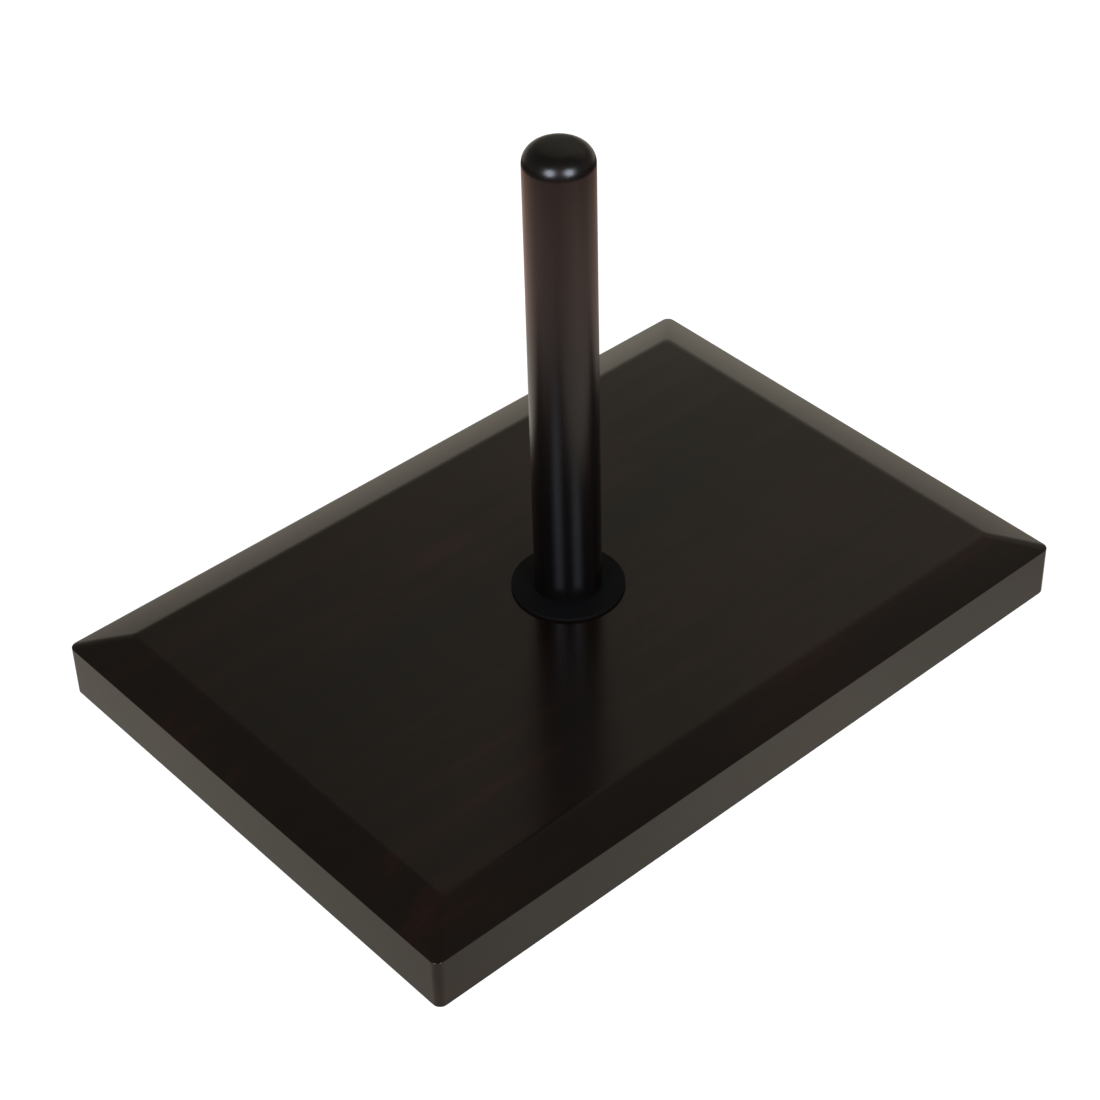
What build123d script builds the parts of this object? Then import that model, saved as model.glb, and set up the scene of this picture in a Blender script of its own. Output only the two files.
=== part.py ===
from build123d import *
from math import isclose, sqrt
import os

# Paper towel holder: a bevelled wooden plate on rubber feet, with a round post that screws into it by hand.
# Millimetres. X runs along the plate's long side, Y along its short side, Z up.
# The origin is under the post, on the surface that the feet stand on.

# Plate
plate_length = 290.0
plate_width = 200.0
side_height = 20.4  # upright side, below the bevel
bevel_inset = 16.3  # how far the bevel reaches in from the side
bevel_rise = 5.6  # how far it climbs on the way
corner_radius = 3.0  # upright corners
ridge_radius = 9.0  # sanded-soft edges round the flat field and along the bevel's mitres
arris_radius = 0.2  # eased edge between the side and the bevel
under_arris_radius = 0.4  # eased edge round the underside

# Post
post_diameter = 24.0
post_length = 180.0
crown_radius = 40.0  # slight dome of the top
post_edge_radius = 6.5  # rounding between the dome and the side
post_foot_chamfer = 0.5

# Rubber washer under the post
washer_diameter = 40.5
washer_thickness = 1.2
washer_edge_radius = 0.25

# Hanger bolt: machine thread down, wood thread up
thread_diameter = 8.0
wood_thread_length = 36.0  # in the post, point included
point_length = 7.0
stud_end_chamfer = 0.8
stud_set_back = 1.3  # the stud ends this far inside the nut's lower face
thread_clearance = 0.05  # each side, where the stud turns in the nut and in the washer

# Tee nut, pressed into the plate from below
barrel_wall = 0.95
barrel_length = 13.5  # above the flange
barrel_clearance = 0.05
flange_diameter = 22.0
flange_thickness = 1.5
prong_count = 4
prong_width = 4.0
prong_tip_width = 1.2
prong_height = 6.0  # above the flange
prong_thickness = 1.5
notch_depth = 1.8  # the gap that a bent-up prong leaves in the flange's rim
notch_side_gap = 0.4
recess_depth = 3.0  # the flange sits at the roof of this recess
recess_clearance = 1.0

# Rubber feet
foot_diameter = 14.0
foot_proud = 0.8  # below the plate
foot_recess = 1.0  # let into the plate
foot_inset = 24.0  # foot's centre to the plate's sides
foot_clearance = 0.15
foot_edge_radius = 0.5

# Levels above the surface, and sizes that follow
plate_thickness = side_height + bevel_rise
plate_bottom = foot_proud
plate_top = plate_bottom + plate_thickness
post_foot = plate_top + washer_thickness
post_top = post_foot + post_length
nut_seat = plate_bottom + recess_depth
nut_bottom = nut_seat - flange_thickness
nut_top = nut_seat + barrel_length
stud_end = nut_bottom + stud_set_back
point_start = post_foot + wood_thread_length - point_length
point_end = post_foot + wood_thread_length
post_radius = post_diameter / 2
thread_radius = thread_diameter / 2
sliding_radius = thread_radius + thread_clearance
barrel_radius = sliding_radius + barrel_wall
flange_radius = flange_diameter / 2
foot_radius = foot_diameter / 2

upwards = (Align.CENTER, Align.CENTER, Align.MIN)


def upright_disc(radius, bottom, top):
    return Pos(0, 0, bottom) * Cylinder(radius, top - bottom, align=upwards)


def turned(profile):
    return revolve(Plane.XZ * profile, Axis.Z)


def underside(solid):
    return solid.faces().sort_by(Axis.Z)[0]


def bevelled_block():
    # Hipped block whose four slopes are the bevels, carried down and out past the plate's sides.
    field_length = plate_length - 2 * bevel_inset
    field_width = plate_width - 2 * bevel_inset
    overhang = 2 * plate_thickness * bevel_inset / bevel_rise
    foot_outline = Pos(0, 0, plate_bottom) * Rectangle(field_length + overhang, field_width + overhang)
    field_outline = Pos(0, 0, plate_top) * Rectangle(field_length, field_width)
    block = loft([foot_outline.face(), field_outline.face()], ruled=True)
    ridges = block.edges() - underside(block).edges()
    return fillet(ridges, ridge_radius)


def is_upright(face):
    return isclose(face.normal_at().Z, 0, abs_tol=1e-6)


def blank_plate():
    outline = RectangleRounded(plate_length, plate_width, corner_radius)
    board = Pos(0, 0, plate_bottom) * extrude(outline, plate_thickness)
    plate = board & bevelled_block()
    sides = plate.faces().filter_by(is_upright)
    arrises = sides.edges().filter_by(Axis.Z, reverse=True) - underside(plate).edges()
    plate = fillet(arrises, arris_radius)
    return fillet(underside(plate).edges(), under_arris_radius)


def foot_places():
    out_x = plate_length / 2 - foot_inset
    out_y = plate_width / 2 - foot_inset
    return {
        "foot_front_left": Pos(-out_x, -out_y),
        "foot_front_right": Pos(out_x, -out_y),
        "foot_back_left": Pos(-out_x, out_y),
        "foot_back_right": Pos(out_x, out_y),
    }


def foot():
    pad = Cylinder(foot_radius, foot_proud + foot_recess, align=upwards)
    return fillet(pad.edges().group_by(Axis.Z)[0], foot_edge_radius)


def prongs():
    outer_face = flange_radius - notch_depth
    corners = [
        (-prong_width / 2, nut_bottom),
        (prong_width / 2, nut_bottom),
        (prong_width / 2, nut_seat),
        (prong_tip_width / 2, nut_seat + prong_height),
        (-prong_tip_width / 2, nut_seat + prong_height),
        (-prong_width / 2, nut_seat),
    ]
    blade = make_face(Polyline(*corners, close=True))
    prong = extrude(Plane.YZ.offset(outer_face - prong_thickness) * blade, prong_thickness)
    return [turn * prong for turn in PolarLocations(0, prong_count)]


def tee_nut():
    nut = upright_disc(flange_radius, nut_bottom, nut_seat)
    notch = Pos(flange_radius - notch_depth, 0, nut_bottom) * Box(
        2 * notch_depth,
        prong_width + 2 * notch_side_gap,
        flange_thickness,
        align=(Align.MIN, Align.CENTER, Align.MIN),
    )
    nut -= [turn * notch for turn in PolarLocations(0, prong_count)]
    nut += upright_disc(barrel_radius, nut_seat, nut_top)
    nut += prongs()
    return nut - upright_disc(sliding_radius, nut_bottom, nut_top)


def base_plate():
    plate = blank_plate()
    plate -= upright_disc(barrel_radius + barrel_clearance, plate_bottom, plate_top)
    plate -= upright_disc(flange_radius + recess_clearance, plate_bottom, nut_seat)
    plate -= prongs()
    foot_hole = upright_disc(foot_radius + foot_clearance, plate_bottom, plate_bottom + foot_recess)
    return plate - [place * foot_hole for place in foot_places().values()]


def hanger_bolt():
    outline = Polyline(
        (0, stud_end),
        (thread_radius - stud_end_chamfer, stud_end),
        (thread_radius, stud_end + stud_end_chamfer),
        (thread_radius, point_start),
        (0, point_end),
        close=True,
    )
    return turned(make_face(outline))


def post():
    shoulder = post_top - crown_radius + sqrt(crown_radius**2 - post_radius**2)
    outline = [
        Polyline(
            (0, post_top),
            (0, post_foot),
            (post_radius - post_foot_chamfer, post_foot),
            (post_radius, post_foot + post_foot_chamfer),
            (post_radius, shoulder),
        ),
        RadiusArc((post_radius, shoulder), (0, post_top), -crown_radius),
    ]
    profile = make_face(outline)
    rim = profile.vertices().sort_by_distance((post_radius, shoulder))[0]
    return turned(fillet(rim, post_edge_radius)) - hanger_bolt()


def post_washer():
    disc = upright_disc(washer_diameter / 2, plate_top, post_foot)
    disc = fillet(disc.edges().filter_by(GeomType.CIRCLE), washer_edge_radius)
    return disc - upright_disc(sliding_radius, plate_top, post_foot)


pieces = {
    "base_plate": base_plate(),
    "post": post(),
    "post_washer": post_washer(),
    "hanger_bolt": hanger_bolt(),
    "tee_nut": tee_nut(),
}
for name, place in foot_places().items():
    pieces[name] = place * foot()

os.makedirs("parts", exist_ok=True)
for name, piece in pieces.items():
    export_step(piece, f"parts/{name}.step")
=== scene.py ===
import math

import bmesh
import bpy
from mathutils import Matrix, Vector


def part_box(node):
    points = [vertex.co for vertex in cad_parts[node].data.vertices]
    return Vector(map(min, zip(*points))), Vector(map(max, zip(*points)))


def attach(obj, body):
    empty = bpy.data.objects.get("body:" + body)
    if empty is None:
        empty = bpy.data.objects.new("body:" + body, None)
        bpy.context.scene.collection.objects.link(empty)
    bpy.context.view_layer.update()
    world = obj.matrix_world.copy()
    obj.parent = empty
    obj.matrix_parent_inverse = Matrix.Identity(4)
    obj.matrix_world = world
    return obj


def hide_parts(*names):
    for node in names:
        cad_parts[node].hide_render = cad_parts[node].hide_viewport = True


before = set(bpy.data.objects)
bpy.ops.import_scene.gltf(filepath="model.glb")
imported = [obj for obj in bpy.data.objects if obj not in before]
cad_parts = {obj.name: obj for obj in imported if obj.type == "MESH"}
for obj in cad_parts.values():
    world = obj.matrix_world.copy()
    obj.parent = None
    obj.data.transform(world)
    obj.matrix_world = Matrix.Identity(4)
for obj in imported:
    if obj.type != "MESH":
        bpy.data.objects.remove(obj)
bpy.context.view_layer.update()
scene = bpy.context.scene
scene.view_settings.view_transform = "Standard"  # a plain product-photo tone, white stays white

mm = 0.001  # the scene is in metres, the sizes below are written in millimetres
sharpAngle = math.radians(30)  # edges that turn more than this are shaded sharp
print("frame loaded:", ", ".join(sorted(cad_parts)))


# Small helpers

def linearColour(hexColour):
    # sRGB hex to the linear colour that shaders take
    channels = [int(hexColour[i:i + 2], 16) / 255 for i in (1, 3, 5)]
    linear = [c / 12.92 if c <= 0.04045 else ((c + 0.055) / 1.055) ** 2.4 for c in channels]
    return (*linear, 1.0)


def addNode(tree, kind, inputs=None, **settings):
    # one node with its settings and its inputs: a socket is linked, a node is linked by its first output,
    # and anything else is a plain value
    node = tree.nodes.new(kind)
    for name, value in settings.items():
        setattr(node, name, value)
    for key, value in (inputs or {}).items():
        if isinstance(value, bpy.types.Node):
            value = value.outputs[0]
        if isinstance(value, bpy.types.NodeSocket):
            tree.links.new(value, node.inputs[key])
        else:
            node.inputs[key].default_value = value
    return node


def setRamp(node, stops):
    # colour ramp stops as (place, linear colour)
    elements = node.color_ramp.elements
    while len(elements) < len(stops):
        elements.new(0.5)
    for element, (place, colour) in zip(elements, stops):
        element.position = place
        element.color = colour


def newMaterial(name):
    material = bpy.data.materials.new(name)
    material.use_nodes = True
    material.node_tree.nodes.clear()
    return material, material.node_tree


def polar(azimuth, elevation):
    # unit vector towards a viewer: azimuth 0 stands at -Y, 90 at +X
    a, e = math.radians(azimuth), math.radians(elevation)
    return Vector((math.sin(a) * math.cos(e), -math.cos(a) * math.cos(e), math.sin(e)))


def arcPoints(centre, radius, startDegrees, endDegrees, steps):
    # points along an arc about a centre in a plane, both ends included
    points = []
    for i in range(steps + 1):
        a = math.radians(startDegrees + (endDegrees - startDegrees) * i / steps)
        points.append((centre[0] + radius * math.cos(a), centre[1] + radius * math.sin(a)))
    return points


def smoothed(mesh):
    mesh.shade_smooth()
    mesh.set_sharp_from_angle(angle=sharpAngle)
    return mesh


def skin(name, loops, closed=False):
    # a closed surface over loops of points: a loop of one point is a pole, a flat end loop gets a face,
    # and where closed is set the last loop runs on into the first
    bm = bmesh.new()
    rings = [[bm.verts.new(p) for p in loop] for loop in loops]
    for lower, upper in zip(rings, rings[1:] + rings[:1] if closed else rings[1:]):
        count = max(len(lower), len(upper))
        for i in range(count):
            j = (i + 1) % count
            corners = [lower[i % len(lower)], lower[j % len(lower)]]
            corners += [upper[j % len(upper)], upper[i % len(upper)]]
            bm.faces.new(list(dict.fromkeys(corners)))
    for ring in (rings[0], rings[-1]):
        if len(ring) > 1 and not closed:
            bm.faces.new(ring)
    bmesh.ops.recalc_face_normals(bm, faces=bm.faces)
    mesh = bpy.data.meshes.new(name)
    bm.to_mesh(mesh)
    bm.free()
    return smoothed(mesh)


def turned(profile, segments):
    # loops of a lathe: (radius, height) points go round the Z axis, and radius 0 is a pole
    loops = []
    for r, z in profile:
        count = 1 if r == 0 else segments
        turn = math.tau / count
        loops.append([(r * math.cos(i * turn), r * math.sin(i * turn), z) for i in range(count)])
    return loops


def evaluated(piece):
    # what an object's modifiers make of it, as a plain mesh; the object is then removed
    graph = bpy.context.evaluated_depsgraph_get()
    mesh = bpy.data.meshes.new_from_object(piece.evaluated_get(graph))
    bpy.data.objects.remove(piece)
    return mesh


def linked(name, data):
    piece = bpy.data.objects.new(name, data)
    scene.collection.objects.link(piece)
    return piece


def newNodeTree(name, inputs):
    # an empty geometry tree with these named inputs, and the sockets that give their values
    tree = bpy.data.node_groups.new(name, "GeometryNodeTree")
    for label, kind in inputs.items():
        tree.interface.new_socket(label, in_out="INPUT", socket_type="NodeSocket" + kind)
    tree.interface.new_socket("Geometry", in_out="OUTPUT", socket_type="NodeSocketGeometry")
    return tree, addNode(tree, "NodeGroupInput").outputs


def grown(name, tree, values):
    # the plain mesh that a geometry tree makes of these values
    host = linked(name, bpy.data.meshes.new(name))
    modifier = host.modifiers.new(name, "NODES")
    modifier.node_group = tree
    for item in tree.interface.items_tree:
        if item.in_out == "INPUT":
            modifier[item.identifier] = values[item.name]
    return smoothed(evaluated(host))


def settle(name, mesh, body, slot, *nodes):
    # a finished piece: at the origin, riding on its body, standing for its CAD nodes
    piece = linked(name, mesh)
    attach(piece, body)
    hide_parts(*nodes)
    print("piece:", name, len(mesh.polygons), "faces")


# Camera, placed as in the photograph

camera = {
    "azimuth": -42.212,  # degrees
    "elevation": 38.852,
    "roll": -0.716,
    "distance": 1023.47 * mm,
    "aim": Vector((66.43, 55.67, 0)) * mm,
    "lens": 86.758,  # mm, with the sensor's width below
    "sensor": 36.0,
    "shift": (-0.0459, -0.0541),  # of the picture's width
    "clip": (0.01, 100),  # m
}


def setUpCamera():
    data = bpy.data.cameras.new("camera")
    data.lens = camera["lens"]
    data.sensor_width = camera["sensor"]
    data.shift_x, data.shift_y = camera["shift"]
    data.clip_start, data.clip_end = camera["clip"]
    back = polar(camera["azimuth"], camera["elevation"])
    roll = Matrix.Rotation(math.radians(camera["roll"]), 3, "Z")
    turn = (-back).to_track_quat("-Z", "Y").to_matrix() @ roll
    eye = linked("camera", data)
    eye.matrix_world = Matrix.Translation(camera["aim"] + back * camera["distance"]) @ turn.to_4x4()
    scene.camera = eye


setUpCamera()
print("camera set")


# Studio: softboxes beside the camera, and behind the object a dim room, a brighter wall and a low lit panel.
# The camera sees a white floor; what the object mirrors is a cream card in its place, glowing with painted
# floor light.

studio = {
    "tint": (1.08, 1.0, 0.83),  # warm white of the room, the wall and the panel
    "floorSide": 40.0,  # m
    "floorColour": "#989898",
    "floorRoughness": 0.9,
    "floorGlow": 0.9,  # keeps shadows on the white floor light
    "floorGlowColour": "#ffffff",
    "cardSide": 5.0,  # m
    "cardDrop": 0.2 * mm,  # below the floor
    "cardGlow": 1.62,
    "cardFade": [  # painted floor light, m from the post: cream by the plate, rosier and brighter further out, then the dim table
        (0.0, "#c9c2b5"), (0.165, "#c9c2b5"), (0.192, "#c9bdb1"), (0.229, "#eac4bc"), (0.268, "#e5c3b7"),
        (0.311, "#ffdaba"), (0.329, "#dba598"), (0.38, "#564e4a"), (1.0, "#464541"),
    ],
    "cardShadeNearPlate": [(0, 0.76), (0.02, 0.8), (0.05, 1.0)],  # m from the plate, share of the glow: painted shade round the plate's foot
    "cardShadeOffEnds": [  # m along the plate, share of the glow: painted shadows off both ends, deepest far to the right
        (-0.4, 0.85), (-0.25, 0.82), (-0.2, 0.76), (-0.155, 0.76), (-0.1, 0.88), (-0.05, 0.93), (0.0, 1.0),
        (0.05, 1.0), (0.08, 0.9), (0.12, 0.82), (0.15, 0.74), (0.19, 0.62), (0.4, 0.55),
    ],
    "cardShadeBehind": [  # m towards the camera, share of the glow: painted shade, darker behind the plate
        (-1.0, 0.6), (-0.16, 0.76), (-0.11, 0.98), (-0.08, 1.06), (0.0, 1.0),
    ],
    "panelDistance": 0.55,  # m behind the object
    "panelRise": [  # m up, brightness
        (0, 0.95), (0.05, 0.77), (0.08, 0.61), (0.12, 0.5), (0.2, 0.4), (0.28, 0.22), (0.36, 0),
    ],
    "panelReach": [  # m to the right, share of the brightness
        (-0.9, 0.2), (-0.3, 0.9), (0, 1.0), (0.2, 1.0), (0.5, 0.86), (0.9, 0.2),
    ],
    "room": [(0, 0.22), (20, 0.2), (45, 0.155), (90, 0.145)],  # degrees up, brightness
    "wall": [  # degrees up, brightness
        (0, 0.2), (23, 0.2), (30, 0.27), (37, 0.41), (46, 0.37), (55, 0.22), (64, 0.16), (90, 0.14),
    ],
    "wallTurn": 26,  # degrees that the wall stands to the right of straight behind
    "wallSpread": (46, 12),  # degrees to each side: where the wall begins, and where it is in full
    "boxSize": (0.72, 1.0),  # m, wide and tall
    "boxDistance": 1.6,
    "boxAzimuth": -40,  # degrees, midway between the two
    "boxSpread": 30.5,  # to each side of that
    "boxElevation": 25.5,
    "boxPower": 24,  # W
    "boxColour": "#e5edff",
    "boxFocus": Vector((0, 0, 0.1)),  # what both boxes face
}
towardsCamera = polar(camera["azimuth"], 0)
rightwards = polar(camera["azimuth"] + 90, 0)
upwards = Vector((0, 0, 1))
alongPlate = Vector((1, 0, 0))


def stageSheet(name, corners, material):
    mesh = bpy.data.meshes.new(name)
    mesh.from_pydata(corners, [], [(0, 1, 2, 3)])
    mesh.materials.append(material)
    sheet = linked(name, mesh)
    return sheet


def levelCorners(side, z):
    half = side / 2
    return [(-half, -half, z), (half, -half, z), (half, half, z), (-half, half, z)]


def grey(brightness, tint=(1, 1, 1)):
    return (*[brightness * channel for channel in tint], 1)


def graded(tree, value, stops):
    # colour by place: stops as (place, linear colour), the first and last place giving the range
    first, last = stops[0][0], stops[-1][0]
    share = addNode(tree, "ShaderNodeMapRange", {"Value": value, "From Min": first, "From Max": last})
    ramp = addNode(tree, "ShaderNodeValToRGB", {0: share})
    setRamp(ramp, [((place - first) / (last - first), colour) for place, colour in stops])
    return ramp


def distance(tree, along):
    # how far a point lies from the origin in that direction, in metres
    spot = addNode(tree, "ShaderNodeTexCoord").outputs["Object"]
    measured = addNode(tree, "ShaderNodeVectorMath", {0: spot, 1: along}, operation="DOT_PRODUCT")
    return measured.outputs["Value"]


def makeFloor():
    material, tree = newMaterial("white acrylic, lit from below")
    shader = addNode(tree, "ShaderNodeBsdfPrincipled", {
        "Base Color": linearColour(studio["floorColour"]),
        "Roughness": studio["floorRoughness"],
        "Specular IOR Level": 0.0,
        "Emission Color": linearColour(studio["floorGlowColour"]),
        "Emission Strength": studio["floorGlow"],
    })
    addNode(tree, "ShaderNodeOutputMaterial", {"Surface": shader})
    floor = stageSheet("floor", levelCorners(studio["floorSide"], 0), material)
    floor.visible_glossy = False
    floor.visible_diffuse = False
    floor.visible_shadow = False


def makeCard():
    # its glow is painted light: the floor's brightness as the object mirrors it, with painted shade near the
    # plate
    material, tree = newMaterial("cream card, glowing with painted floor light")
    spot = addNode(tree, "ShaderNodeTexCoord").outputs["Object"]
    reach = addNode(tree, "ShaderNodeVectorMath", {0: spot}, operation="LENGTH").outputs["Value"]
    fade = [(place, linearColour(colour)) for place, colour in studio["cardFade"]]
    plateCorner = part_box("base_plate")[1]
    across = addNode(tree, "ShaderNodeVectorMath", {0: spot}, operation="ABSOLUTE")
    beyond = addNode(tree, "ShaderNodeVectorMath", {0: across, 1: plateCorner}, operation="SUBTRACT")
    sides = addNode(tree, "ShaderNodeSeparateXYZ", {0: beyond}).outputs
    fromPlate = addNode(tree, "ShaderNodeMath", {0: sides["X"], 1: sides["Y"]}, operation="MAXIMUM")
    # painted shade: the glow is dimmed near the plate, off its ends and behind it
    paintedShades = {
        "cardShadeNearPlate": fromPlate,
        "cardShadeOffEnds": distance(tree, alongPlate),
        "cardShadeBehind": distance(tree, towardsCamera),
    }
    strength = studio["cardGlow"]
    for name, value in paintedShades.items():
        share = graded(tree, value, [(place, grey(level)) for place, level in studio[name]])
        strength = addNode(tree, "ShaderNodeMath", {0: share, 1: strength}, operation="MULTIPLY")
    glow = addNode(tree, "ShaderNodeEmission", {"Color": graded(tree, reach, fade), "Strength": strength})
    addNode(tree, "ShaderNodeOutputMaterial", {"Surface": glow})
    card = stageSheet("card", levelCorners(studio["cardSide"], -studio["cardDrop"]), material)
    card.visible_camera = False
    card.visible_shadow = False


def makePanel():
    # adds its glow to the wall behind it, most at its foot and none at its top
    material, tree = newMaterial("lit panel")
    rise = [(place, grey(glow, studio["tint"])) for place, glow in studio["panelRise"]]
    reach = [(place, grey(share)) for place, share in studio["panelReach"]]
    glow = addNode(tree, "ShaderNodeEmission", {
        "Color": graded(tree, distance(tree, upwards), rise),
        "Strength": graded(tree, distance(tree, rightwards), reach),
    })
    clear = addNode(tree, "ShaderNodeBsdfTransparent")
    both = addNode(tree, "ShaderNodeAddShader", {0: glow, 1: clear})
    addNode(tree, "ShaderNodeOutputMaterial", {"Surface": both})
    foot = -towardsCamera * studio["panelDistance"]
    left = foot + rightwards * reach[0][0]
    right = foot + rightwards * reach[-1][0]
    top = upwards * rise[-1][0]
    panel = stageSheet("panel", [left, right, right + top, left + top], material)
    panel.visible_camera = False
    panel.visible_shadow = False


def makeSurroundings():
    world = bpy.data.worlds.new("studio")
    world.use_nodes = True
    tree = world.node_tree
    tree.nodes.clear()
    direction = addNode(tree, "ShaderNodeTexCoord").outputs["Generated"]
    height = addNode(tree, "ShaderNodeSeparateXYZ", {0: direction}).outputs["Z"]
    sides = []
    for bands in (studio["room"], studio["wall"]):
        stops = [(math.sin(math.radians(up)), grey(glow, studio["tint"])) for up, glow in bands]
        sides.append(graded(tree, height, stops))
    level = addNode(tree, "ShaderNodeVectorMath", {0: direction, 1: (1, 1, 0)}, operation="MULTIPLY")
    heading = addNode(tree, "ShaderNodeVectorMath", {0: level}, operation="NORMALIZE")
    toWall = -polar(camera["azimuth"] - studio["wallTurn"], 0)
    facing = addNode(tree, "ShaderNodeVectorMath", {0: heading, 1: toWall}, operation="DOT_PRODUCT")
    begins, full = [math.cos(math.radians(a)) for a in studio["wallSpread"]]
    share = addNode(tree, "ShaderNodeMapRange", {
        "Value": facing.outputs["Value"], "From Min": begins, "From Max": full,
    }, interpolation_type="SMOOTHSTEP")
    # inputs 6 and 7 and output 2 are the mix node's colour sockets
    mixed = addNode(tree, "ShaderNodeMix", {"Factor": share, 6: sides[0], 7: sides[1]}, data_type="RGBA")
    glow = addNode(tree, "ShaderNodeBackground", {"Color": mixed.outputs[2], "Strength": 1.0})
    addNode(tree, "ShaderNodeOutputWorld", {"Surface": glow})
    scene.world = world


def makeSoftboxes():
    for name, side in (("softbox_left", -1), ("softbox_right", 1)):
        data = bpy.data.lights.new(name, "AREA")
        data.shape = "ELLIPSE"
        data.size, data.size_y = studio["boxSize"]
        data.energy = studio["boxPower"]
        data.color = linearColour(studio["boxColour"])[:3]
        back = polar(studio["boxAzimuth"] + side * studio["boxSpread"], studio["boxElevation"])
        box = linked(name, data)
        box.location = studio["boxFocus"] + back * studio["boxDistance"]
        box.rotation_euler = back.to_track_quat("Z", "Y").to_euler()
        box.visible_camera = False


makeFloor()
makeCard()
makePanel()
makeSurroundings()
makeSoftboxes()
print("studio lit")


# Materials

noiseSpan = (0.3, 0.7)  # nearly all of a noise pattern's values lie in here

wood = {
    "grainAxis": "X",
    "fibreWidth": 0.9 * mm,  # real fibres are far finer, drawn this coarse so that they show
    "fibreLength": 45 * mm,
    "fibreNoise": {"Detail": 3.0, "Roughness": 0.6},
    "fibreHeight": 0.004 * mm,
    "bandWidth": 7 * mm,  # growth rings, cut lengthwise
    "bandLength": 320 * mm,
    "bandNoise": {"Detail": 2.0, "Distortion": 0.4},
    "patchWidth": 55 * mm,  # where the stain took more or less
    "patchLength": 110 * mm,
    "patchNoise": {"Detail": 2.0},
    "rippleWidth": 5 * mm,  # the sprayed film's slight waves
    "rippleLength": 5 * mm,
    "rippleNoise": {"Detail": 1.0},
    "rippleHeight": 0.003 * mm,
    "shares": (0.12, 0.36, 0.52),  # of fibres, bands and patches in the colour
    "stain": [(0.36, "#070402"), (0.5, "#0b0503"), (0.66, "#1a0805")],  # from well soaked to thin
    "roughness": (0.19, 0.24),
    "ior": 1.45,
}
postFinish = {
    **wood,
    "grainAxis": "Z",
    "fibreHeight": 0.008 * mm,
    "shares": (0.3, 0.4, 0.3),
    "stain": [(0.36, "#030303"), (0.5, "#060404"), (0.64, "#150806")],
    "roughness": (0.25, 0.3),
}


def lacqueredWood(name, finish):
    # Espresso-stained hardwood under sprayed lacquer: nearly black, faint red-brown streaks along the grain,
    # and a smooth satin gloss that mirrors bright surroundings softly at low angles.
    material, tree = newMaterial(name)
    spot = addNode(tree, "ShaderNodeTexCoord").outputs["Object"]

    def pattern(kind):
        # noise of its real width and length, the length along the grain
        width, length = finish[kind + "Width"], finish[kind + "Length"]
        scale = [1 / (length if axis == finish["grainAxis"] else width) for axis in "XYZ"]
        mapped = addNode(tree, "ShaderNodeMapping", {"Vector": spot, "Scale": scale})
        return addNode(tree, "ShaderNodeTexNoise", {"Vector": mapped, "Scale": 1.0, **finish[kind + "Noise"]})

    fibres, bands, patches, ripples = [pattern(kind) for kind in ("fibre", "band", "patch", "ripple")]
    tone = 0.0
    for part, share in zip((fibres, bands, patches), finish["shares"]):
        tone = addNode(tree, "ShaderNodeMath", {0: part, 1: share, 2: tone}, operation="MULTIPLY_ADD")
    colour = addNode(tree, "ShaderNodeValToRGB", {0: tone})
    setRamp(colour, [(place, linearColour(shade)) for place, shade in finish["stain"]])
    gloss = addNode(tree, "ShaderNodeMapRange", {
        "Value": patches, "From Min": noiseSpan[0], "From Max": noiseSpan[1],
        "To Min": finish["roughness"][0], "To Max": finish["roughness"][1],
    })
    waves = addNode(tree, "ShaderNodeBump", {"Height": ripples, "Distance": finish["rippleHeight"]})
    relief = addNode(tree, "ShaderNodeBump", {
        "Height": fibres, "Distance": finish["fibreHeight"], "Normal": waves,
    })
    shader = addNode(tree, "ShaderNodeBsdfPrincipled", {
        "Base Color": colour, "Roughness": gloss, "IOR": finish["ior"], "Normal": relief,
    })
    addNode(tree, "ShaderNodeOutputMaterial", {"Surface": shader})
    return material


rubber = {
    "colours": ("#040404", "#090909"),
    "grit": 0.7 * mm,  # moulding texture, drawn coarser than the real one so that it shows
    "gritDetail": 3.0,
    "gritHeight": 0.02 * mm,
    "roughness": 0.7,
    "specular": 0.08,
}


def mouldedRubber(name, finish):
    # Black rubber from a matt mould: no mirror, a faint grey bloom at low angles, fine grit.
    material, tree = newMaterial(name)
    spot = addNode(tree, "ShaderNodeTexCoord").outputs["Object"]
    grit = addNode(tree, "ShaderNodeTexNoise", {
        "Vector": spot, "Scale": 1 / finish["grit"], "Detail": finish["gritDetail"],
    })
    colour = addNode(tree, "ShaderNodeValToRGB", {0: grit})
    setRamp(colour, [(place, linearColour(shade)) for place, shade in zip(noiseSpan, finish["colours"])])
    relief = addNode(tree, "ShaderNodeBump", {"Height": grit, "Distance": finish["gritHeight"]})
    shader = addNode(tree, "ShaderNodeBsdfPrincipled", {
        "Base Color": colour, "Roughness": finish["roughness"], "Normal": relief,
        "Specular IOR Level": finish["specular"],
    })
    addNode(tree, "ShaderNodeOutputMaterial", {"Surface": shader})
    return material


zinc = {
    "colours": ("#9ea19f", "#cdd0cd"),
    "cloud": 3 * mm,
    "cloudDetail": 4.0,
    "cloudHeight": 0.01 * mm,
    "roughness": (0.28, 0.45),
}


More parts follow.
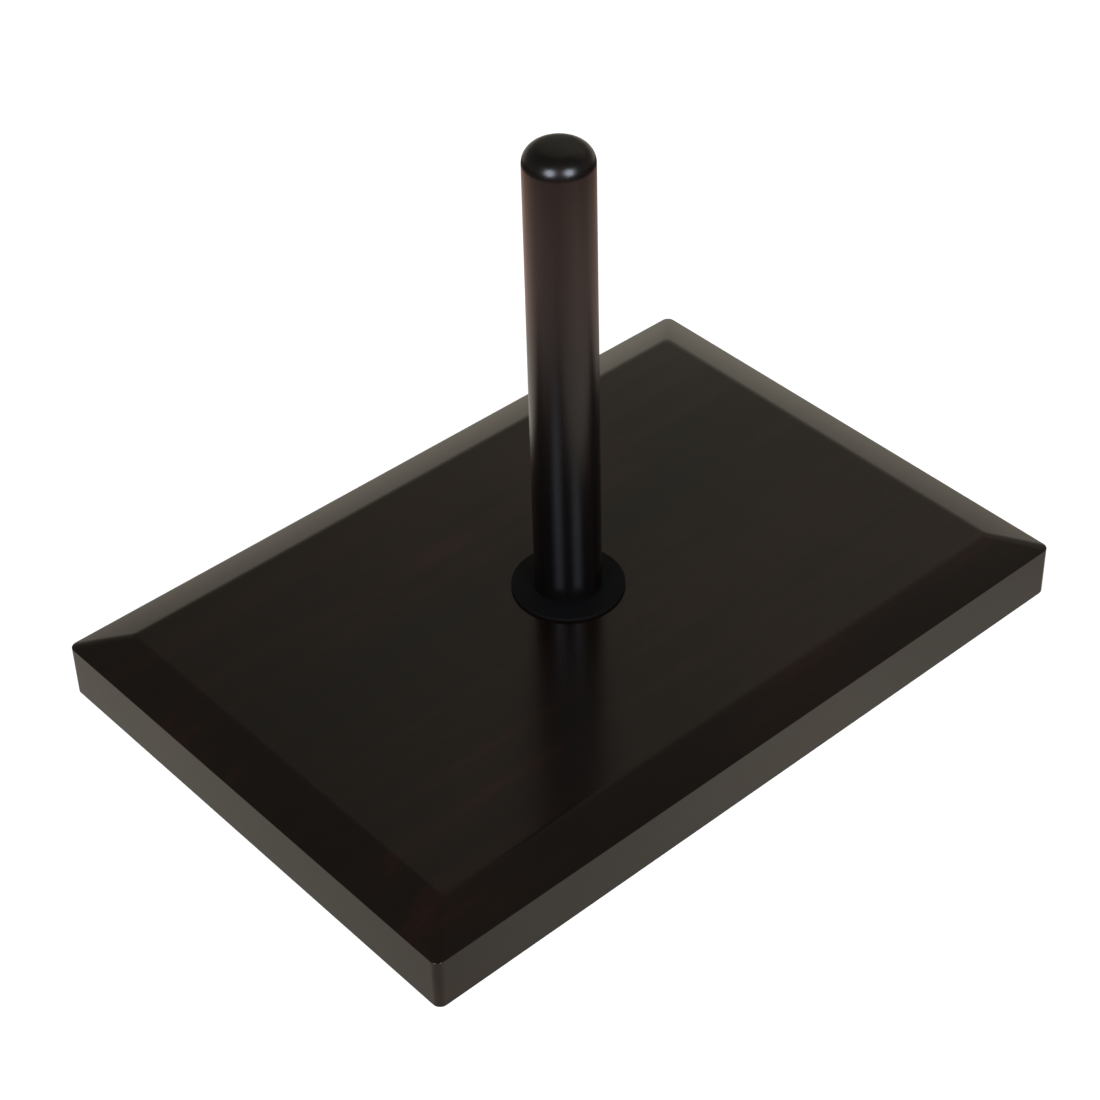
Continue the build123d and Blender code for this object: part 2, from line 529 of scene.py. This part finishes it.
def platedZinc(name, finish):
    # Steel with bright zinc plating: a cool grey metal, cloudy rather than mirror-like.
    material, tree = newMaterial(name)
    spot = addNode(tree, "ShaderNodeTexCoord").outputs["Object"]
    clouds = addNode(tree, "ShaderNodeTexNoise", {
        "Vector": spot, "Scale": 1 / finish["cloud"], "Detail": finish["cloudDetail"],
    })
    colour = addNode(tree, "ShaderNodeValToRGB", {0: clouds})
    setRamp(colour, [(place, linearColour(shade)) for place, shade in zip(noiseSpan, finish["colours"])])
    gloss = addNode(tree, "ShaderNodeMapRange", {
        "Value": clouds, "To Min": finish["roughness"][0], "To Max": finish["roughness"][1],
    })
    relief = addNode(tree, "ShaderNodeBump", {"Height": clouds, "Distance": finish["cloudHeight"]})
    shader = addNode(tree, "ShaderNodeBsdfPrincipled", {
        "Base Color": colour, "Metallic": 1.0, "Roughness": gloss, "Normal": relief,
    })
    addNode(tree, "ShaderNodeOutputMaterial", {"Surface": shader})
    return material


plateWood = lacqueredWood("hardwood, stained and lacquered, plate", wood)
postWood = lacqueredWood("hardwood, stained and lacquered, post", postFinish)
blackRubber = mouldedRubber("black rubber, moulded", rubber)
platedSteel = platedZinc("steel, zinc plated", zinc)
print("materials mixed")


# Plate: one moulded edge all round, then bored from below

plateShape = {
    "bevelInset": 16.3 * mm,
    "bevelRise": 5.6 * mm,
    "bevelCrown": 2.0,  # degrees that sanding has rolled the bevel's ends off its straight slope
    "bevelSteps": 10,
    "ridgeRadius": 9 * mm,
    "ridgeSteps": 12,
    "arrisRadius": 0.2 * mm,
    "arrisSteps": 8,
    "underRadius": 0.4 * mm,
    "underSteps": 6,
    "corner": (3.0 * mm, 2.4 * mm),  # plan radius at the sides and at the flat field
    "cornerSteps": 10,
    "guard": 0.3 * mm,  # flat strip beside each curve, so that the flats shade flat
    "nutRecess": 3.0 * mm,
    "nutClearance": 1.0 * mm,
    "barrelHole": 5.05 * mm,
    "footClearance": 0.15 * mm,
    "boreSegments": 96,
    "boreOverrun": 1.0 * mm,  # past the plate's faces, for a clean cut
}
feet = ("foot_front_left", "foot_front_right", "foot_back_left", "foot_back_right")


def plateSection(shape):
    # (inset from the side, height) from the underside, up the side and in over the bevel to the flat field
    low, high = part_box("base_plate")
    arris, under = shape["arrisRadius"], shape["underRadius"]
    ridge, guard = shape["ridgeRadius"], shape["guard"]
    slope = math.degrees(math.atan2(shape["bevelRise"], shape["bevelInset"]))
    upper, lower = slope - shape["bevelCrown"], slope + shape["bevelCrown"]  # at the ridge and at the arris
    sinUp, cosUp = math.sin(math.radians(upper)), math.cos(math.radians(upper))
    sinLow, cosLow = math.sin(math.radians(lower)), math.cos(math.radians(lower))
    fieldEdge = shape["bevelInset"] + ridge * math.tan(math.radians(slope / 2))
    # the crowned bevel is an arc, of the radius that runs on smoothly from the arris into the ridge
    sweep = (fieldEdge - ridge * sinUp - arris * (1 - sinLow)) / (sinLow - sinUp)
    ridgeCentre = (fieldEdge, high.z - ridge)
    sweepCentre = (fieldEdge - (ridge - sweep) * sinUp, high.z - ridge + (ridge - sweep) * cosUp)
    arrisCentre = (arris, sweepCentre[1] + (sweep - arris) * cosLow)
    points = [(under + guard, low.z)]
    points += arcPoints((under, low.z + under), under, 270, 180, shape["underSteps"])
    points += [(0, low.z + under + guard), (0, arrisCentre[1] - guard)]
    points += arcPoints(arrisCentre, arris, 180, 90 + lower, shape["arrisSteps"])
    points += arcPoints(sweepCentre, sweep, 90 + lower, 90 + upper, shape["bevelSteps"])[1:]
    points += arcPoints(ridgeCentre, ridge, 90 + upper, 90, shape["ridgeSteps"])[1:]
    return points + [(fieldEdge + guard, high.z)]


def roundedRectangle(halfX, halfY, radius, steps, z):
    loop = []
    for quarter, (signX, signY) in enumerate(((1, 1), (-1, 1), (-1, -1), (1, -1))):
        centre = (signX * (halfX - radius), signY * (halfY - radius))
        start = 90 * quarter
        loop += [(x, y, z) for x, y in arcPoints(centre, radius, start, start + 90, steps)]
    return loop


def plateBlank(shape):
    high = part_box("base_plate")[1]
    section = plateSection(shape)
    fieldInset = section[-1][0]
    atSide, atField = shape["corner"]
    loops = []
    for inset, z in section:
        radius = atSide + (atField - atSide) * inset / fieldInset
        loops.append(roundedRectangle(high.x - inset, high.y - inset, radius, shape["cornerSteps"], z))
    return skin("plate", loops)


def plateBores(shape):
    low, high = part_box("base_plate")
    below, above = low.z - shape["boreOverrun"], high.z + shape["boreOverrun"]
    roof = low.z + shape["nutRecess"]
    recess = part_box("tee_nut")[1].x + shape["nutClearance"]
    barrel = shape["barrelHole"]
    stepped = [(recess, below), (recess, roof), (barrel, roof), (barrel, above)]
    cutters = [linked("bore", skin("bore", turned(stepped, shape["boreSegments"])))]
    for foot in feet:
        footLow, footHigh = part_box(foot)
        radius = (footHigh.x - footLow.x) / 2 + shape["footClearance"]
        mesh = skin("bore", turned([(radius, below), (radius, footHigh.z)], shape["boreSegments"]))
        mesh.transform(Matrix.Translation(((footLow.x + footHigh.x) / 2, (footLow.y + footHigh.y) / 2, 0)))
        cutters.append(linked("bore", mesh))
    return cutters


def plateMesh(shape):
    blank = linked("plate", plateBlank(shape))
    cutters = plateBores(shape)
    for cutter in cutters:
        cut = blank.modifiers.new("bore", "BOOLEAN")
        cut.operation = "DIFFERENCE"
        cut.solver = "EXACT"
        cut.object = cutter
    mesh = smoothed(evaluated(blank))
    for cutter in cutters:
        bpy.data.objects.remove(cutter)
    mesh.materials.clear()
    mesh.materials.append(plateWood)
    return mesh


settle("bevelled_plate", plateMesh(plateShape), "base", "lacquered_wood", "base_plate")


# Post, turned on a lathe and bored for its bolt

postShape = {
    "crownRadius": 40 * mm,
    "crownSteps": 10,
    "rimRadius": 6.5 * mm,
    "rimSteps": 20,
    "footChamfer": 0.5 * mm,
    "boltPoint": 7 * mm,
    "guard": 0.5 * mm,  # straight strip beside each curve, so that the side shades straight
    "segments": 128,
}


def postProfile(shape):
    # (radius, height) from the tip of the bolt's hole down to the foot, out, and up over the rim to the crown
    low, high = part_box("post")
    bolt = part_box("hanger_bolt")[1]
    crown, rim = shape["crownRadius"], shape["rimRadius"]
    chamfer, guard = shape["footChamfer"], shape["guard"]
    inset = high.x - rim
    crownCentre = high.z - crown
    rimCentre = crownCentre + math.sqrt((crown - rim) ** 2 - inset ** 2)
    meet = math.degrees(math.atan2(rimCentre - crownCentre, inset))  # where the rim runs into the crown
    profile = [
        (0, bolt.z),
        (bolt.x, bolt.z - shape["boltPoint"]),
        (bolt.x, low.z),
        (high.x - chamfer, low.z),
        (high.x, low.z + chamfer),
        (high.x, low.z + chamfer + guard),
        (high.x, rimCentre - guard),
    ]
    profile += arcPoints((inset, rimCentre), rim, 0, meet, shape["rimSteps"])
    profile += arcPoints((0, crownCentre), crown, meet, 90, shape["crownSteps"])[1:-1]
    return profile + [(0, high.z)]


def postMesh(shape):
    mesh = skin("post", turned(postProfile(shape), shape["segments"]))
    mesh.materials.append(postWood)
    return mesh


settle("turned_post", postMesh(postShape), "post", "lacquered_wood", "post")


# Rubber washer under the post

washerShape = {
    "hole": 4.05 * mm,
    "edgeRadius": 0.25 * mm,
    "edgeSteps": 5,
    "segments": 128,
}


def washerMesh(shape):
    low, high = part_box("post_washer")
    hole, edge = shape["hole"], shape["edgeRadius"]
    profile = [(hole, high.z), (hole, low.z)]
    profile += arcPoints((high.x - edge, low.z + edge), edge, -90, 0, shape["edgeSteps"])
    profile += arcPoints((high.x - edge, high.z - edge), edge, 0, 90, shape["edgeSteps"])
    mesh = skin("washer", turned(profile, shape["segments"]), closed=True)
    mesh.materials.append(blackRubber)
    return mesh


settle("rubber_washer", washerMesh(washerShape), "washer", "black_rubber", "post_washer")


# Rubber pads, one pad set out at four places

padShape = {
    "edgeRadius": 0.5 * mm,
    "edgeSteps": 6,
    "hollow": (3.2 * mm, 4.2 * mm, 0.3 * mm),  # moulded into the underside: flat radius, mouth radius, depth
    "segments": 64,
}


def padMesh(shape):
    # one pad about the Z axis
    low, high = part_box(feet[0])
    radius, edge = (high.x - low.x) / 2, shape["edgeRadius"]
    flat, mouth, depth = shape["hollow"]
    profile = [(0, low.z + depth), (flat, low.z + depth), (mouth, low.z)]
    profile += arcPoints((radius - edge, low.z + edge), edge, -90, 0, shape["edgeSteps"])
    return skin("pad", turned(profile + [(radius, high.z), (0, high.z)], shape["segments"]))


def padTree():
    tree, sizes = newNodeTree("pads at four places", {
        "Along": "Float", "Across": "Float", "Pad": "Object", "Material": "Material",
    })
    places = addNode(tree, "GeometryNodeMeshGrid", {
        "Size X": sizes["Along"], "Size Y": sizes["Across"], "Vertices X": 2, "Vertices Y": 2,
    })
    pad = addNode(tree, "GeometryNodeObjectInfo", {"Object": sizes["Pad"]}).outputs["Geometry"]
    copies = addNode(tree, "GeometryNodeInstanceOnPoints", {"Points": places, "Instance": pad})
    real = addNode(tree, "GeometryNodeRealizeInstances", {0: copies})
    coated = addNode(tree, "GeometryNodeSetMaterial", {"Geometry": real, "Material": sizes["Material"]})
    addNode(tree, "NodeGroupOutput", {0: coated})
    return tree


def padsMesh(shape):
    pad = linked("pad", padMesh(shape))
    boxes = [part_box(foot) for foot in feet]
    spans = [max(high[i] for low, high in boxes) - min(low[i] for low, high in boxes) for i in (0, 1)]
    width = boxes[0][1].x - boxes[0][0].x
    mesh = grown("pads", padTree(), {
        "Along": spans[0] - width, "Across": spans[1] - width, "Pad": pad, "Material": blackRubber,
    })
    bpy.data.objects.remove(pad)
    return mesh


settle("rubber_pads", padsMesh(padShape), "base", "black_rubber", *feet)


# Hanger bolt: a machine thread down into the nut, a wood thread up into the post

boltShape = {
    "middle": 2.0 * mm,  # above the post's foot, where one thread gives way to the other
    "weld": 0.002 * mm,  # points closer than this become one
    "machineThread": {
        "Pitch": 1.25 * mm, "Depth": 0.77 * mm, "Root": 0.25, "Crest": 0.125, "Facets": 64,
        "End Radius": 3.2 * mm, "End Length": 0.8 * mm, "Tip Radius": 3.2 * mm, "Tip Length": 0.8 * mm,
    },
    "woodThread": {
        "Pitch": 3.0 * mm, "Depth": 1.1 * mm, "Root": 0.5, "Crest": 0.06, "Facets": 64,
        "End Radius": 2.9 * mm, "End Length": 1.1 * mm, "Tip Radius": 0.0, "Tip Length": 7.0 * mm,
    },
}
rowsPerTurn = 4  # root, root, crest, crest


def rodTree():
    # A sheet of lines is rolled up round Z. Its first and last line close the ends, and the rows between them
    # are the thread. Rolling lifts each row by one pitch, so that its end meets the row a turn further up.
    # Root and Crest are the shares of the pitch that are flat there.
    tree, sizes = newNodeTree("threaded rod", {
        "Bottom": "Float", "Top": "Float", "Radius": "Float", "Pitch": "Float", "Depth": "Float",
        "Root": "Float", "Crest": "Float", "Facets": "Int", "Weld": "Float",
        "End Radius": "Float", "End Length": "Float", "Tip Radius": "Float", "Tip Length": "Float",
    })
    bottom, top, outer, pitch = [sizes[name] for name in ("Bottom", "Top", "Radius", "Pitch")]
    length = addNode(tree, "ShaderNodeMath", {0: top, 1: bottom}, operation="SUBTRACT")
    turns = addNode(tree, "ShaderNodeMath", {0: length, 1: pitch}, operation="DIVIDE")
    whole = addNode(tree, "ShaderNodeMath", {0: turns}, operation="CEIL")
    lastRow = addNode(tree, "ShaderNodeMath", {
        0: whole, 1: rowsPerTurn, 2: rowsPerTurn,
    }, operation="MULTIPLY_ADD")
    lastLine = addNode(tree, "ShaderNodeMath", {0: lastRow, 1: 2.0}, operation="ADD")
    lines = addNode(tree, "ShaderNodeMath", {0: lastLine, 1: 1.0}, operation="ADD")
    columns = addNode(tree, "ShaderNodeMath", {0: sizes["Facets"], 1: 1.0}, operation="ADD")
    sheet = addNode(tree, "GeometryNodeMeshGrid", {
        "Size X": 1.0, "Size Y": lastLine, "Vertices X": columns, "Vertices Y": lines,
    })

    # where a point is: its share of the way round, its line, its row, and that row's step within a turn
    position = addNode(tree, "GeometryNodeInputPosition")
    spot = addNode(tree, "ShaderNodeSeparateXYZ", {0: position}).outputs
    share = addNode(tree, "ShaderNodeMath", {0: spot["X"], 1: 0.5}, operation="ADD")
    place = addNode(tree, "ShaderNodeMath", {0: lastLine, 1: 0.5, 2: spot["Y"]}, operation="MULTIPLY_ADD")
    line = addNode(tree, "ShaderNodeMath", {0: place}, operation="ROUND")
    inside = addNode(tree, "ShaderNodeMath", {0: line, 1: 1.0}, operation="SUBTRACT")
    row = addNode(tree, "ShaderNodeClamp", {"Value": inside, "Min": 0.0, "Max": lastRow})
    step = addNode(tree, "ShaderNodeMath", {0: row, 1: rowsPerTurn}, operation="MODULO")
    started = addNode(tree, "ShaderNodeMath", {0: row, 1: step}, operation="SUBTRACT")

    # height: whole turns, the steps taken across root, flank and crest, and the way round
    flats = addNode(tree, "ShaderNodeMath", {0: sizes["Root"], 1: sizes["Crest"]}, operation="ADD")
    flank = addNode(tree, "ShaderNodeMath", {0: flats, 1: -0.5, 2: 0.5}, operation="MULTIPLY_ADD")
    climb = addNode(tree, "ShaderNodeMath", {
        0: started, 1: 1 / rowsPerTurn, 2: share,
    }, operation="MULTIPLY_ADD")
    for first, width in enumerate((sizes["Root"], flank, sizes["Crest"])):
        gain = addNode(tree, "ShaderNodeMapRange", {
            "Value": step, "From Min": first, "From Max": first + 1, "To Min": 0.0, "To Max": width,
        })
        climb = addNode(tree, "ShaderNodeMath", {0: climb, 1: gain}, operation="ADD")
    climb = addNode(tree, "ShaderNodeMath", {0: climb, 1: 1.0}, operation="SUBTRACT")
    height = addNode(tree, "ShaderNodeMath", {0: climb, 1: pitch, 2: bottom}, operation="MULTIPLY_ADD")
    height = addNode(tree, "ShaderNodeClamp", {"Value": height, "Min": bottom, "Max": top})

    # radius: the thread, cut back by the chamfer or point at each end, and nothing in the first and last line
    inner = addNode(tree, "ShaderNodeMath", {0: outer, 1: sizes["Depth"]}, operation="SUBTRACT")
    radius = addNode(tree, "ShaderNodeMapRange", {
        "Value": step, "From Min": 1.0, "From Max": 2.0, "To Min": inner, "To Max": outer,
    })
    for level, end, sign in ((bottom, "End", 1.0), (top, "Tip", -1.0)):
        away = addNode(tree, "ShaderNodeMath", {0: height, 1: level}, operation="SUBTRACT")
        inwards = addNode(tree, "ShaderNodeMath", {0: away, 1: sign}, operation="MULTIPLY")
        limit = addNode(tree, "ShaderNodeMapRange", {
            "Value": inwards, "From Min": 0.0, "From Max": sizes[end + " Length"],
            "To Min": sizes[end + " Radius"], "To Max": outer,
        })
        radius = addNode(tree, "ShaderNodeMath", {0: radius, 1: limit}, operation="MINIMUM")
    left = addNode(tree, "ShaderNodeMath", {0: lastLine, 1: line}, operation="SUBTRACT")
    within = addNode(tree, "ShaderNodeMath", {0: line, 1: left}, operation="MINIMUM", use_clamp=True)
    radius = addNode(tree, "ShaderNodeMath", {0: radius, 1: within}, operation="MULTIPLY")

    angle = addNode(tree, "ShaderNodeMath", {0: share, 1: math.tau}, operation="MULTIPLY")
    flat = addNode(tree, "ShaderNodeCombineXYZ", {"X": radius, "Z": height})
    rolled = addNode(tree, "ShaderNodeVectorRotate", {"Vector": flat, "Angle": angle}, rotation_type="Z_AXIS")
    rod = addNode(tree, "GeometryNodeSetPosition", {"Geometry": sheet, "Position": rolled})
    welded = addNode(tree, "GeometryNodeMergeByDistance", {"Geometry": rod, "Distance": sizes["Weld"]})
    addNode(tree, "NodeGroupOutput", {0: welded})
    return tree


def boltTree(shape):
    tree, sizes = newNodeTree("hanger bolt", {
        "Stud End": "Float", "Middle": "Float", "Point": "Float", "Radius": "Float", "Material": "Material",
    })
    rod = rodTree()
    joined = addNode(tree, "GeometryNodeJoinGeometry")
    for thread, bottom, top in (("machineThread", "Stud End", "Middle"), ("woodThread", "Middle", "Point")):
        part = addNode(tree, "GeometryNodeGroup", {
            "Bottom": sizes[bottom], "Top": sizes[top], "Radius": sizes["Radius"], "Weld": shape["weld"],
            **shape[thread],
        }, node_tree=rod)
        tree.links.new(part.outputs[0], joined.inputs[0])
    real = addNode(tree, "GeometryNodeRealizeInstances", {0: joined})
    coated = addNode(tree, "GeometryNodeSetMaterial", {"Geometry": real, "Material": sizes["Material"]})
    addNode(tree, "NodeGroupOutput", {0: coated})
    return tree


def boltMesh(shape):
    low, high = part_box("hanger_bolt")
    return grown("bolt", boltTree(shape), {
        "Stud End": low.z, "Middle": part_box("post")[0].z + shape["middle"], "Point": high.z, "Radius": high.x,
        "Material": platedSteel,
    })


settle("threaded_bolt", boltMesh(boltShape), "post", "zinc_plated_steel", "hanger_bolt")


# Tee nut, as modelled

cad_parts["tee_nut"].data.materials[0] = platedSteel
print("tee nut plated")
